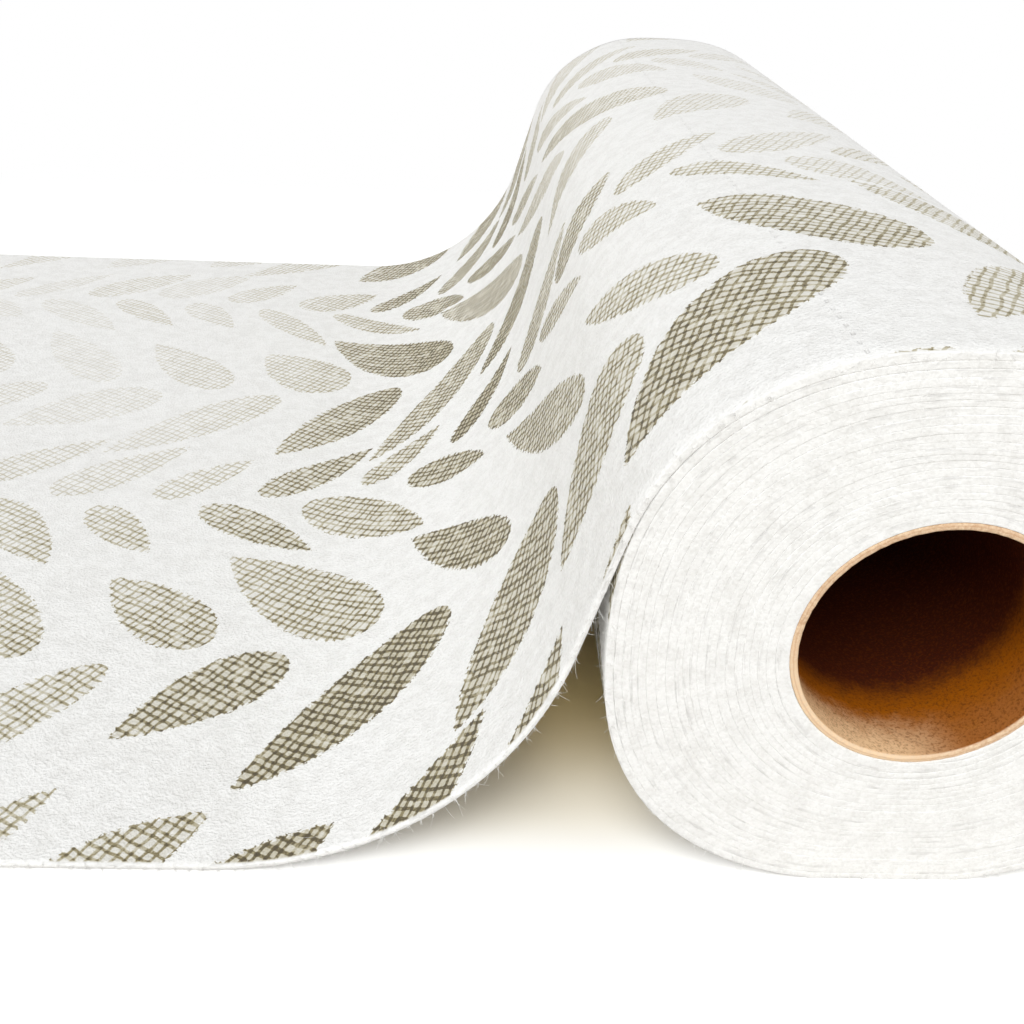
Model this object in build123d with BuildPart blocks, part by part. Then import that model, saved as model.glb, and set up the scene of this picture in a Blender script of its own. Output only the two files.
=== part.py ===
"""Reusable paper towel roll: one long web wound on a card tube, its free end drawn off over the roll and laid out flat.

The roll lies on its side. The origin is on the tube's axis at mid-width, +Y runs along the axis, +Z is up, and the
loose tail lies towards -X. Sections are drawn at the roll's far end and extruded along the axis to its near end.
"""

import os
from itertools import pairwise
from math import atan2, cos, degrees, floor, radians, sin, tan

from build123d import *

# Driving dimensions, in millimetres and degrees
web_width = 305.0  # the towel's width, along the axis
sheet_thickness = 1.0
turn_gap = 0.15  # the least air that loose winding leaves between two turns
core_bore = 39.0
core_wall = 1.2
core_clearance = 0.05  # between the tube and the first turn
roll_breadth = 94.0  # across the wound turns, from side to side
roll_height = 88.8  # the wound turns, from the flat spot to the top
flat_spot = 24.0  # width of the flat that the soft roll settles on
squareness = 0.4  # how much the outermost turn departs from an ellipse, towards a rounded square
lift_angle = 160.0  # where the outer turn leaves the roll, anticlockwise from +X
tail_drop = 20.0  # straight run of the tail before it bends towards the floor
tail_reach = 269.0  # from the axis to the end of the tail

# Sizes that follow
core_radius = core_bore / 2 + core_wall
first_radius = core_radius + core_clearance
side_build = roll_breadth / 2 - first_radius
rise_build = roll_height / 2 - first_radius
floor_level = -roll_height / 2
thickness_share = sheet_thickness / side_build
turns = floor((side_build - sheet_thickness) / (sheet_thickness + turn_gap))
turn_share = (1 - thickness_share) / turns

far_end = Plane.XZ.offset(-web_width / 2)  # this plane's normal is -Y
arcs_per_turn = 10
shortest_arc = 0.25  # of a full arc, where the last turn lifts off
bottom = -90.0  # each turn starts and ends here, anticlockwise


def outline(angle, share):
    """A point of the wound section, at an angle outside the flat.

    The share is 0 on the tube, where the section is round, and 1 on the outermost full turn. The lower half runs
    through the ends of the flat.
    """
    along, up = cos(radians(angle)), sin(radians(angle))
    side = first_radius + side_build * share
    rise = first_radius + rise_build * share
    power = 2 + squareness * share
    if up < 0:
        rise /= (1 - (flat_spot / 2 * share / side) ** power) ** (1 / power)
    reach = (abs(along / side) ** power + abs(up / rise) ** power) ** (-1 / power)
    return Vector(reach * along, reach * up)


def flat_angle(share):
    """The angle at the axis that half of a turn's flat spans."""
    return degrees(atan2(flat_spot / 2 * share, first_radius + rise_build * share))


def turn_arcs(turn, face):
    """One turn of a face, from the right end of its flat round to the left end, or to where the tail lifts off.

    The face is 0 for the web's inner side and 1 for its outer, printed side.
    """
    share = turn * turn_share + face * thickness_share
    first = bottom + flat_angle(share)
    last = bottom + 360 - flat_angle(share + turn_share)
    reached = (lift_angle - first) / (last - first) if turn == turns else 1

    def point(step):
        return outline(first + step * (last - first), share + step * turn_share)

    joins = [i / arcs_per_turn for i in range(arcs_per_turn)]
    joins = [join for join in joins if (reached - join) * arcs_per_turn > shortest_arc] + [reached]
    return [
        ThreePointArc(point(start), point((start + end) / 2), point(end), mode=Mode.PRIVATE)
        for start, end in pairwise(joins)
    ]


def wound_face(face):
    """One face of the winding, from the tube to where the tail lifts off, with a flat under each turn."""
    edges = turn_arcs(0, face)
    for turn in range(1, turns + 1):
        arcs = turn_arcs(turn, face)
        flat = Line(edges[-1] @ 1, arcs[0] @ 0, mode=Mode.PRIVATE)
        edges += [flat, *arcs]
    return edges


def tail_face(face, leave, direction):
    """One face of the tail: straight down off the roll, round one bend and flat along the floor."""
    height = floor_level + face * sheet_thickness
    fall = (height - leave.Y) / direction.Y
    corner = leave + direction * fall
    half_turn = direction.get_angle(Vector(-1, 0)) / 2
    bend = (fall - tail_drop) / tan(radians(half_turn))
    end = Vector(-tail_reach, height)
    return FilletPolyline(leave, corner, end, radius=bend, mode=Mode.PRIVATE).edges()


# Card tube that the web is wound on
with BuildPart() as core_tube:
    with BuildSketch(far_end):
        Circle(core_radius)
        Circle(core_bore / 2, mode=Mode.SUBTRACT)
    extrude(amount=web_width)
core_tube.part.label = "core_tube"

# Towel web: every turn and the tail are one continuous sheet
with BuildPart() as towel_web:
    with BuildSketch(far_end):
        with BuildLine():
            inner, outer = wound_face(0), wound_face(1)
            direction = inner[-1] % 1
            inner += tail_face(0, inner[-1] @ 1, direction)
            outer += tail_face(1, outer[-1] @ 1, direction)
            ends = [Line(inner[i] @ end, outer[i] @ end, mode=Mode.PRIVATE) for i, end in ((0, 0), (-1, 1))]
            add(inner + outer + ends)
        make_face()
    extrude(amount=web_width)
towel_web.part.label = "towel_web"

os.makedirs("parts", exist_ok=True)
for piece in (core_tube, towel_web):
    export_step(piece.part, f"parts/{piece.part.label}.step")

web_length = towel_web.part.volume / (sheet_thickness * web_width)
print(f"turns {turns}, web about {web_length:.0f} mm long, floor at {floor_level:.2f}")
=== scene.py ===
"""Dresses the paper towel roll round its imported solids.

The wound and printed towel, its card tube and its loose lint are each a class, and so is the plain
studio that they lie in.
"""

import logging
import math
import random
from dataclasses import dataclass, field
from enum import Enum
from typing import Any, Union

import bpy
import numpy as np
from mathutils import Matrix, Vector, noise


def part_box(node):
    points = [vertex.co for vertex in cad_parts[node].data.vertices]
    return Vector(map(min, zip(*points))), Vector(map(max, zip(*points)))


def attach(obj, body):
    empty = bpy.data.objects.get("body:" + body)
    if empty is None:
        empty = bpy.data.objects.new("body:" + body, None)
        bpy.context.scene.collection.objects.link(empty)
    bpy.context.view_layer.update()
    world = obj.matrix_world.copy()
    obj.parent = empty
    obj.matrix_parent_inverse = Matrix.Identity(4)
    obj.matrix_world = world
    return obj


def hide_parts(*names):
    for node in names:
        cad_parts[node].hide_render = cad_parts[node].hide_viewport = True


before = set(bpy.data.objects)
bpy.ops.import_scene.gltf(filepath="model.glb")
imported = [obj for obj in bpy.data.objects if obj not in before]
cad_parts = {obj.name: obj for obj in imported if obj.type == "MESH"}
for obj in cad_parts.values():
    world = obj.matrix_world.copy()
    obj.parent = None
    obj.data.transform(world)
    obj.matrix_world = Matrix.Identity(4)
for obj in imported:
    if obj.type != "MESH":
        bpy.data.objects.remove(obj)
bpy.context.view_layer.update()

log = logging.getLogger("towel_roll")

MM = 0.001  # one millimetre, in metres
FULL_TURN = 2 * math.pi
RAY_KINDS = ("Camera", "Glossy", "Transmission")  # the rays that see the white background
GRAIN_ROUGHNESS = 0.62  # how strong the finer layers of a noise texture are

Colour = tuple[float, float, float]
Span = tuple[float, float]
Number = Union["Value", float]

WHITE: Colour = (1.0, 1.0, 1.0)


class RollEnd(Enum):
    """An end of the roll, by its side of the middle along the axis."""

    NEAR = -1
    FAR = 1


class VineWay(Enum):
    """The way that a printed vine grows along the towel."""

    TO_TAIL = 1
    TO_TUBE = -1


class GrainSpace(Enum):
    """How many coordinates of a point a noise texture reads."""

    LINE = "1D"
    FLAT = "2D"
    SOLID = "3D"


def smooth_step(low: float, high: float, at: float) -> float:
    """Eases from 0 to 1.

    Args:
        low: Where the step starts.
        high: Where the step ends.
        at: Where it is read.

    Returns:
        0 up to low, 1 from high on, and a smooth rise between.
    """
    share = min(max((at - low) / (high - low), 0.0), 1.0)
    return share * share * (3 - 2 * share)


@dataclass(frozen=True)
class Waver:
    """A smooth wandering, the same in each run, that shapes take from their place."""

    first_rate: float  # how quickly it changes with the first measure of the place
    second_rate: float
    layer: float  # which of many such wanderings it is
    weight: float = 1.0

    def at(self, first: float, second: float) -> float:
        """How far it wanders at a place, from about -1 to 1 times its weight."""
        place = Vector((first * self.first_rate, second * self.second_rate, self.layer))
        return self.weight * noise.noise(place)


class Value:
    """A number that a shader works out at each point of a surface; arithmetic on it adds Math nodes."""

    def __init__(self, graph: "ShaderGraph", socket: bpy.types.NodeSocket) -> None:
        """Wraps an output socket of a graph."""
        self.graph = graph
        self.socket = socket

    def __add__(self, other: Number) -> "Value":
        """Sum."""
        return self.graph.maths("ADD", self, other)

    __radd__ = __add__

    def __sub__(self, other: Number) -> "Value":
        """Difference."""
        return self.graph.maths("SUBTRACT", self, other)

    def __rsub__(self, other: Number) -> "Value":
        """Difference from a plain number."""
        return self.graph.maths("SUBTRACT", other, self)

    def __mul__(self, other: Number) -> "Value":
        """Product."""
        return self.graph.maths("MULTIPLY", self, other)

    __rmul__ = __mul__

    def __truediv__(self, other: Number) -> "Value":
        """Quotient."""
        return self.graph.maths("DIVIDE", self, other)

    def __pow__(self, other: Number) -> "Value":
        """Power."""
        return self.graph.maths("POWER", self, other)

    def __abs__(self) -> "Value":
        """Size without sign."""
        return self.graph.maths("ABSOLUTE", self)

    def __gt__(self, other: Number) -> "Value":
        """1 where this is larger, else 0."""
        return self.graph.maths("GREATER_THAN", self, other)

    def floor(self) -> "Value":
        """The whole number below."""
        return self.graph.maths("FLOOR", self)

    def fraction(self) -> "Value":
        """What is left above the whole number below."""
        return self.graph.maths("FRACT", self)

    def sine(self) -> "Value":
        """Sine of an angle in radians."""
        return self.graph.maths("SINE", self)

    def cosine(self) -> "Value":
        """Cosine of an angle in radians."""
        return self.graph.maths("COSINE", self)

    def least(self, other: Number) -> "Value":
        """The smaller of the two."""
        return self.graph.maths("MINIMUM", self, other)

    def most(self, other: Number) -> "Value":
        """The larger of the two."""
        return self.graph.maths("MAXIMUM", self, other)

    def spread(self, ends: Span) -> "Value":
        """Takes 0 to the first end, 1 to the second, and the rest in line with them."""
        return self * (ends[1] - ends[0]) + ends[0]

    def eased(self, low: float, high: float) -> "Value":
        """A smooth rise from 0 at low to 1 at high.

        Args:
            low: Where the rise starts; above high, it is a fall.
            high: Where the rise ends.

        Returns:
            The eased value, from 0 to 1.
        """
        start, end = (0.0, 1.0) if low < high else (1.0, 0.0)
        sockets = {
            "Value": self,
            "From Min": min(low, high),
            "From Max": max(low, high),
            "To Min": start,
            "To Max": end,
        }
        node = self.graph.add("ShaderNodeMapRange", {"interpolation_type": "SMOOTHSTEP"}, sockets)
        return Value(self.graph, node.outputs[0])


class ShaderGraph:
    """The nodes of one material or of the world."""

    def __init__(self, owner: bpy.types.Material | bpy.types.World) -> None:
        """Starts an empty node tree.

        Args:
            owner: The material or the world that the tree belongs to.
        """
        owner.use_nodes = True
        self.tree = owner.node_tree
        self.tree.nodes.clear()

    def add(self, kind: str, settings: dict[str, Any], sockets: dict[int | str, Any]) -> bpy.types.Node:
        """Adds a node.

        Args:
            kind: The node's type.
            settings: Its own properties, set first.
            sockets: Values or links for its inputs, by name or place.

        Returns:
            The new node.
        """
        node = self.tree.nodes.new(kind)
        for name, setting in settings.items():
            setattr(node, name, setting)
        for key, given in sockets.items():
            given = given.socket if isinstance(given, Value) else given
            if isinstance(given, bpy.types.NodeSocket):
                self.tree.links.new(given, node.inputs[key])
            else:
                node.inputs[key].default_value = given
        return node

    def maths(self, operation: str, *numbers: Number) -> Value:
        """Adds a Math node and gives its result."""
        node = self.add("ShaderNodeMath", {"operation": operation}, dict(enumerate(numbers)))
        return Value(self, node.outputs[0])

    def blend(self, share: Number, first: Any, second: Any) -> bpy.types.NodeSocket:
        """Mixes two colours.

        Args:
            share: 0 for the first colour, 1 for the second.
            first: A colour or a link to one.
            second: A colour or a link to one.

        Returns:
            A link to the mixed colour.
        """
        given = {0: share, 6: self.opaque(first), 7: self.opaque(second)}
        return self.add("ShaderNodeMix", {"data_type": "RGBA"}, given).outputs[2]

    @staticmethod
    def opaque(colour: Any) -> Any:
        """Adds full alpha to a plain colour, and passes a link through."""
        return (*colour, 1.0) if isinstance(colour, tuple) else colour

    def pair(self, first: Number, second: Number) -> bpy.types.NodeSocket:
        """Joins two numbers into a vector."""
        return self.add("ShaderNodeCombineXYZ", {}, {0: first, 1: second}).outputs[0]

    def split(self, vector: bpy.types.NodeSocket) -> tuple[Value, Value, Value]:
        """Takes a vector or colour apart."""
        node = self.add("ShaderNodeSeparateXYZ", {}, {0: vector})
        return tuple(Value(self, output) for output in node.outputs)

    def grain(
        self,
        at: bpy.types.NodeSocket,
        scale: float,
        detail: float = 1.0,
        space: GrainSpace = GrainSpace.SOLID,
    ) -> Value:
        """Adds a noise texture.

        Args:
            at: The point at which it is read.
            scale: How many grains there are to a unit of that point.
            detail: How many finer layers it has.
            space: How many of the point's coordinates count.

        Returns:
            The noise, from 0 to 1 with its middle at 0.5.
        """
        given = {"Vector": at, "Scale": scale, "Detail": detail, "Roughness": GRAIN_ROUGHNESS}
        node = self.add("ShaderNodeTexNoise", {"noise_dimensions": space.value}, given)
        return Value(self, node.outputs[0])

    def dice(self, space: GrainSpace, sockets: dict[str, Any]) -> bpy.types.Node:
        """Adds a texture that gives every place a chance value of its own."""
        return self.add("ShaderNodeTexWhiteNoise", {"noise_dimensions": space.value}, sockets)

    def object_point(self) -> bpy.types.NodeSocket:
        """The point's place on the object, in metres."""
        return self.add("ShaderNodeTexCoord", {}, {}).outputs["Object"]

    def uv_map(self, name: str) -> tuple[Value, Value, Value]:
        """Reads a UV map, taken apart; the third number is 0."""
        return self.split(self.add("ShaderNodeUVMap", {"uv_map": name}, {}).outputs[0])

    def bump(self, height: Value, strength: float, depth: float) -> bpy.types.NodeSocket:
        """Turns a height into a normal.

        Args:
            height: How high the surface stands, in units of the depth.
            strength: How much of the bump shows.
            depth: The depth, in metres.

        Returns:
            A link to the normal.
        """
        given = {"Strength": strength, "Distance": depth, "Height": height}
        return self.add("ShaderNodeBump", {}, given).outputs[0]

    def surface(self, sockets: dict[str, Any]) -> None:
        """Ends the graph in one Principled shader with these inputs."""
        shader = self.add("ShaderNodeBsdfPrincipled", {}, sockets)
        self.add("ShaderNodeOutputMaterial", {}, {"Surface": shader.outputs[0]})


def new_graph(name: str) -> tuple[bpy.types.Material, ShaderGraph]:
    """Makes an empty material and its graph."""
    material = bpy.data.materials.new(name)
    return material, ShaderGraph(material)


@dataclass(frozen=True)
class Leaf:
    """What a point of the towel knows of the printed leaf nearest to it."""

    depth: Value  # how far inside the outline the point lies, below 0 outside it
    weight: Value  # how much ink the leaf has, from 0 to 1

    def joined(self, other: "Leaf", spare: float) -> "Leaf":
        """Puts another leaf beside this one, cut back where it comes too near.

        Args:
            other: The other leaf.
            spare: The least bare towel between the two.

        Returns:
            Whichever of the two the point lies further inside.
        """
        depth = other.depth.least(-1.0 * self.depth - spare)
        nearer = depth > self.depth
        weight = other.weight * nearer + self.weight * (1 - nearer)
        return Leaf(self.depth.most(depth), weight)


@dataclass(frozen=True)
class Vine:
    """A printed vine that trails along the towel, repeated across it. Lengths are in millimetres."""

    offset: float  # of its stem from the middle of the towel
    pitch: float  # from one leaf of a row to the next
    leaf_length: float
    leaf_width: float
    lean_deg: float  # of its leaves, off the stem
    way: VineWay
    sway: float  # how far the stem swings to each side
    sway_length: float
    period: float = 136.0  # from one such vine to the next
    column_step: float = 0.37  # of the pitch, how far its leaves are ahead of those of the next vine
    column_turn: float = 1.9  # radians that its sway is ahead
    root_gap: float = 3.6  # from the stem to a leaf
    spare: float = 1.6  # the least bare towel between two leaves
    lean_spread_deg: float = 16.0
    length_span: Span = (0.62, 1.08)  # of the leaf's length, by chance
    width_span: Span = (0.72, 1.22)
    stalk_power: float = 0.5  # how blunt a leaf's stalk end is: less is blunter
    tip_power: float = 0.85
    fullness: float = 0.98  # of the width, how far the outline bulges
    cut_off: float = 100.0  # how steeply the depth falls past a leaf's two ends
    weight_mix: tuple[float, float] = (3.7, 5.3)  # makes a leaf's ink from the chances of its size

    def drawn(self, graph: ShaderGraph, along: Value, across: Value) -> Leaf:
        """Draws the vine's leaves, in two rows along a stem that isn't printed.

        Args:
            graph: The material's graph.
            along: Distance along the towel.
            across: Distance across the towel.

        Returns:
            The leaf nearest to the point.
        """
        column = ((across - self.offset) / self.period + 0.5).floor()
        swing = (along * (FULL_TURN / self.sway_length) + column * self.column_turn).sine() * self.sway
        aside = across - self.offset - column * self.period - swing
        side = aside > 0.0
        row = column * 2.0 + side
        run = along * float(self.way.value) + column * (self.column_step * self.pitch)
        run = run + side * (0.5 * self.pitch)
        index = (run / self.pitch).floor()
        own, earlier = (
            self.leaf(graph, run - root * self.pitch, abs(aside), root, row)
            for root in (index, index - 1.0)
        )
        return own.joined(earlier, self.spare)

    def leaf(self, graph: ShaderGraph, ahead: Value, aside: Value, root: Value, row: Value) -> Leaf:
        """Draws one leaf: rounded at its stalk end and pointed at its tip.

        Args:
            graph: The material's graph.
            ahead: Distance from the leaf's root along the stem.
            aside: Distance from the stem.
            root: The leaf's place in its row.
            row: Which row of which vine it is in.

        Returns:
            The leaf.
        """
        chance = graph.dice(GrainSpace.FLAT, {"Vector": graph.pair(root, row)})
        first, second, third = graph.split(chance.outputs["Color"])
        lean = math.radians(self.lean_deg) + (third - 0.5) * math.radians(self.lean_spread_deg)
        length = first.spread(self.length_span) * self.leaf_length
        width = second.spread(self.width_span) * self.leaf_width
        out = ahead * lean.cosine() + aside * lean.sine() - self.root_gap
        off = aside * lean.cosine() - ahead * lean.sine()
        share = out / length
        rounded = share.most(0.0) ** self.stalk_power
        pointed = (1 - share).most(0.0) ** self.tip_power
        beyond = (abs(share - 0.5) - 0.5).most(0.0)
        depth = rounded * pointed * width * self.fullness - abs(off) - beyond * self.cut_off
        weight = first * self.weight_mix[0] + second * self.weight_mix[1]
        return Leaf(depth, weight.fraction())


@dataclass(frozen=True)
class LeafPrint:
    """The towel's print: two kinds of vine, with leaves filled by a loose crossed hatch.

    Lengths are in millimetres. A span by a leaf's weight runs from the palest leaf to the heaviest.
    """

    vines: tuple[Vine, Vine] = (
        Vine(
            offset=34.0,
            pitch=34.0,
            leaf_length=55.0,
            leaf_width=23.0,
            lean_deg=45.0,
            way=VineWay.TO_TAIL,
            sway=6.0,
            sway_length=260.0,
        ),
        Vine(
            offset=-34.0,
            pitch=25.0,
            leaf_length=41.0,
            leaf_width=16.0,
            lean_deg=42.0,
            way=VineWay.TO_TUBE,
            sway=5.0,
            sway_length=190.0,
        ),
    )
    hatch_spacing: tuple[float, float] = (1.75, 1.95)  # of the two sets of lines
    hatch_turn_deg: tuple[float, float] = (28.0, -59.0)
    line_half: Span = (0.09, 0.19)  # of the spacing, by a leaf's weight
    line_edge: Span = (0.1, -0.04)  # of the spacing, past the half width, where the ink fades in
    line_wobble: float = 0.6  # of the spacing
    line_stray: float = 0.28  # of the spacing, the range in which a line is out of place
    line_ink: float = 0.86
    crossing: float = 0.72  # how much less ink there is at a crossing than two lines would lay
    wash: Span = (-0.16, 0.56)  # ink between the lines, by a leaf's weight
    wash_edge: Span = (-0.2, 0.2)
    overrun: float = 0.5  # how far the hatch's lines run out past the wash
    strength: Span = (0.42, 1.12)  # of all the ink, by a leaf's weight
    leaf_edge: Span = (-0.12, 0.14)
    ragged: float = 0.5  # how far the felt's fibres fray a leaf's edge
    wobble_scale: float = 0.22
    edge_wobble: float = 0.5
    catch: Span = (0.8, 1.2)  # of the ink, between fibres and on them
    smear: float = 0.7  # how much ink a smeared leaf has
    tide_length: float = 300.0  # from one stretch of heavy ink to the next
    tide_peak: float = 212.0  # from the end of the tail to its heaviest ink
    tide_share: float = 0.68  # how much of a leaf's weight follows those stretches
    tide_power: float = 1.6  # how narrow they are
    flank: Span = (-125.0, 15.0)  # across the towel, from its more inked side to its less inked one
    flank_ink: Span = (0.34, -0.27)  # what that adds between the heavy stretches

    def ink(
        self, graph: ShaderGraph, along: Value, across: Value, to_end: Value, fibres: Value, crisp: Value
    ) -> Value:
        """Lays the ink.

        Args:
            graph: The material's graph.
            along: Distance along the towel.
            across: Distance across the towel.
            to_end: Distance left to the end of the tail.
            fibres: The felt's fibres, which the ink catches on.
            crisp: 1 where the hatch is clear, 0 where the ink is smeared.

        Returns:
            How much ink there is, from 0 to 1.
        """
        wobble = graph.grain(graph.pair(along, across), self.wobble_scale, space=GrainSpace.FLAT) - 0.5
        first, second = (vine.drawn(graph, along, across) for vine in self.vines)
        leaf = first.joined(second, self.vines[1].spare)
        weight = self.weighted(leaf.weight, across, to_end)
        depth = leaf.depth + (fibres - 0.5) * self.ragged + wobble * self.edge_wobble
        washed = (depth - self.overrun).eased(*self.wash_edge) * weight.spread(self.wash)
        lines = self.hatch(graph, along, across, wobble, weight.spread(self.line_half))
        lines = lines * crisp + (1 - crisp) * self.smear
        amount = (depth.eased(*self.leaf_edge) * lines).most(washed) * weight.spread(self.strength)
        return amount * fibres.spread(self.catch).least(1.0)

    def weighted(self, own: Value, across: Value, to_end: Value) -> Value:
        """Makes the ink heavier in some stretches of the towel than in others.

        Args:
            own: The leaf's own weight.
            across: Distance across the towel.
            to_end: Distance left to the end of the tail.

        Returns:
            The weight that the leaf is printed with.
        """
        wave = ((to_end - self.tide_peak) * (FULL_TURN / self.tide_length)).cosine()
        tide = (wave * 0.5 + 0.5) ** self.tide_power
        flank = across.eased(*self.flank).spread(self.flank_ink)
        return own * (1 - self.tide_share) + tide * self.tide_share + flank * (1 - tide)

    def hatch(self, graph: ShaderGraph, along: Value, across: Value, wobble: Value, half: Value) -> Value:
        """Draws two sets of crossing lines, each line a little out of place, as if by hand.

        Args:
            graph: The material's graph.
            along: Distance along the towel.
            across: Distance across the towel.
            wobble: What draws the lines out of true.
            half: Half of a line's width, as a share of the spacing.

        Returns:
            How much ink the lines lay, 0 between them.
        """
        lines = None
        for spacing, turn_deg in zip(self.hatch_spacing, self.hatch_turn_deg):
            turn = math.radians(turn_deg)
            place = along * (math.cos(turn) / spacing) + across * (math.sin(turn) / spacing)
            place = place + wobble * self.line_wobble
            chance = graph.dice(GrainSpace.LINE, {"W": place.floor() + turn_deg})
            stray = (Value(graph, chance.outputs["Value"]) - 0.5) * self.line_stray
            away = abs(place.fraction() - 0.5 - stray)
            line = (away - half).eased(*self.line_edge)
            inked = line * self.line_ink
            lines = inked if lines is None else lines + inked - lines * line * self.crossing
        return lines


@dataclass(frozen=True)
class FeltFinish:
    """Soft off-white felted towel, printed on its outer face and perforated between sheets.

    Lengths on the towel are in millimetres. A sheet's side is 0 on its inner face and 1 on its printed one.
    """

    white: Colour = (0.925, 0.925, 0.914)
    # the painted shade's tone, in the felt's hollows
    shade: Colour = (0.7, 0.69, 0.665)
    ink_dark: Colour = (0.07, 0.05, 0.016)
    ink_pale: Colour = (0.4, 0.34, 0.17)
    ink_edge: Colour = (0.44, 0.43, 0.42)
    ink_deepens: Span = (0.45, 1.0)  # how much ink is pale, and how much is dark
    ink_gain: float = 1.35
    ink_cover: float = 0.96  # the most of the felt that ink hides
    mottle_scale: float = 290.0
    mottle_low: Span = (0.6, 0.36)
    mottle_shade: float = 0.19
    tuft_scale: float = 1900.0
    tuft_low: Span = (0.6, 0.3)
    tuft_shade: float = 0.28
    fibre_scale: float = 850.0
    fibre_half: float = 0.09  # how wide a fibre is, by its noise
    fibre_shade: float = 0.08  # between fibres
    nap_high: Span = (0.5, 0.72)
    nap_cover: float = 0.34  # how much of the ink the nap hides where it stands up
    nap_strength: float = 0.78
    nap_depth: float = 0.4 * MM
    cut_edge: Span = (0.15, 0.9)  # in from the roll's end, where the ink fades
    edge_ink: float = 0.42  # how much ink is left there, in streaks
    edge_nap: float = 0.36  # how much of the felt's roughness is left there
    edge_side: Span = (0.25, 0.9)  # where the ink reaches through the sheet's cut edge
    face_side: Span = (0.84, 1.0)  # where it reaches on the rest of the sheet
    streak_rates: tuple[float, float] = (0.2, 2.2)  # along the towel and through the sheet
    streak_ink: Span = (0.46, 0.66)
    sheet_length: float = 298.0  # between perforations
    slit: float = 3.2  # from one slit of a perforation to the next
    slit_half: Span = (0.32, 0.12)  # half of a slit's width, where it fades out
    slit_end: Span = (0.3, 0.36)  # of that distance, from the middle of a tie to where a slit starts
    slit_shade: float = 0.22
    slit_depth: float = 0.5  # of the nap's depth
    prints: LeafPrint = field(default_factory=LeafPrint)

    def material(self, towel_length: float, half_width: float) -> bpy.types.Material:
        """Makes the towel's material.

        Args:
            towel_length: The towel's length in millimetres, from the tube to the end of the tail.
            half_width: Half of its width, in millimetres.

        Returns:
            The material.
        """
        material, graph = new_graph("felted_towel")
        along, across, _ = graph.uv_map("web")
        side, _, _ = graph.uv_map("side")
        point = graph.object_point()
        fibres = abs(graph.grain(point, self.fibre_scale) - 0.5).eased(self.fibre_half, 0.0)
        mottle = graph.grain(point, self.mottle_scale)
        tufts = graph.grain(point, self.tuft_scale)
        edge_from, edge_to = (half_width - inset for inset in self.cut_edge)
        within = abs(across).eased(edge_from, edge_to)
        to_end = towel_length - along
        ink = self.prints.ink(graph, along, across, to_end, fibres, within)
        ink = ink * self.showing(graph, along, side, within)
        ink = ink * (1 - mottle.eased(*self.nap_high) * self.nap_cover)
        slits = self.perforation(to_end, across)
        # Painted shade: the felt is darker between its fibres, where its mottle and tufts stand low, and in
        # the perforation's slits.
        painted_hollow_shade = (1 - fibres) * self.fibre_shade + mottle.eased(*self.mottle_low) * self.mottle_shade
        painted_hollow_shade = painted_hollow_shade + tufts.eased(*self.tuft_low) * self.tuft_shade + slits * self.slit_shade
        ground = graph.blend(painted_hollow_shade.least(1.0), self.white, self.shade)
        inked = graph.blend(ink.eased(*self.ink_deepens), self.ink_pale, self.ink_dark)
        inked = graph.blend(within, self.ink_edge, inked)
        colour = graph.blend((ink * self.ink_gain).least(self.ink_cover), ground, inked)
        height = (tufts + mottle) * within.spread((self.edge_nap, 1.0)) - slits * self.slit_depth
        graph.surface(
            {
                "Base Color": colour,
                "Roughness": 0.95,
                "Specular IOR Level": 0.1,
                "Sheen Weight": 0.1,
                "Sheen Roughness": 0.6,
                "Normal": graph.bump(height, self.nap_strength, self.nap_depth),
            }
        )
        return material

    def showing(self, graph: ShaderGraph, along: Value, side: Value, within: Value) -> Value:
        """Finds where the print shows: on the outer face, and in streaks on the cut edges.

        Args:
            graph: The material's graph.
            along: Distance along the towel.
            side: The side of the sheet.
            within: 0 on the towel's cut edges, else 1.

        Returns:
            How much of the ink shows.
        """
        at = graph.pair(along * self.streak_rates[0], side * self.streak_rates[1])
        streaks = graph.grain(at, 1.0, detail=2.0, space=GrainSpace.FLAT).eased(*self.streak_ink)
        on_edge = (1 - within) * streaks * side.eased(*self.edge_side) * self.edge_ink
        return within * side.eased(*self.face_side) + on_edge

    def perforation(self, to_end: Value, across: Value) -> Value:
        """Marks the slits between sheets, counted from the end of the tail.

        Args:
            to_end: Distance left to the end of the tail.
            across: Distance across the towel.

        Returns:
            1 in a slit, else 0.
        """
        place = (to_end / self.sheet_length + 0.5).fraction() - 0.5
        line = (abs(place) * self.sheet_length).eased(*self.slit_half)
        inner_sheets = to_end > self.sheet_length * 0.5
        return line * abs((across / self.slit).fraction() - 0.5).eased(*self.slit_end) * inner_sheets


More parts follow.
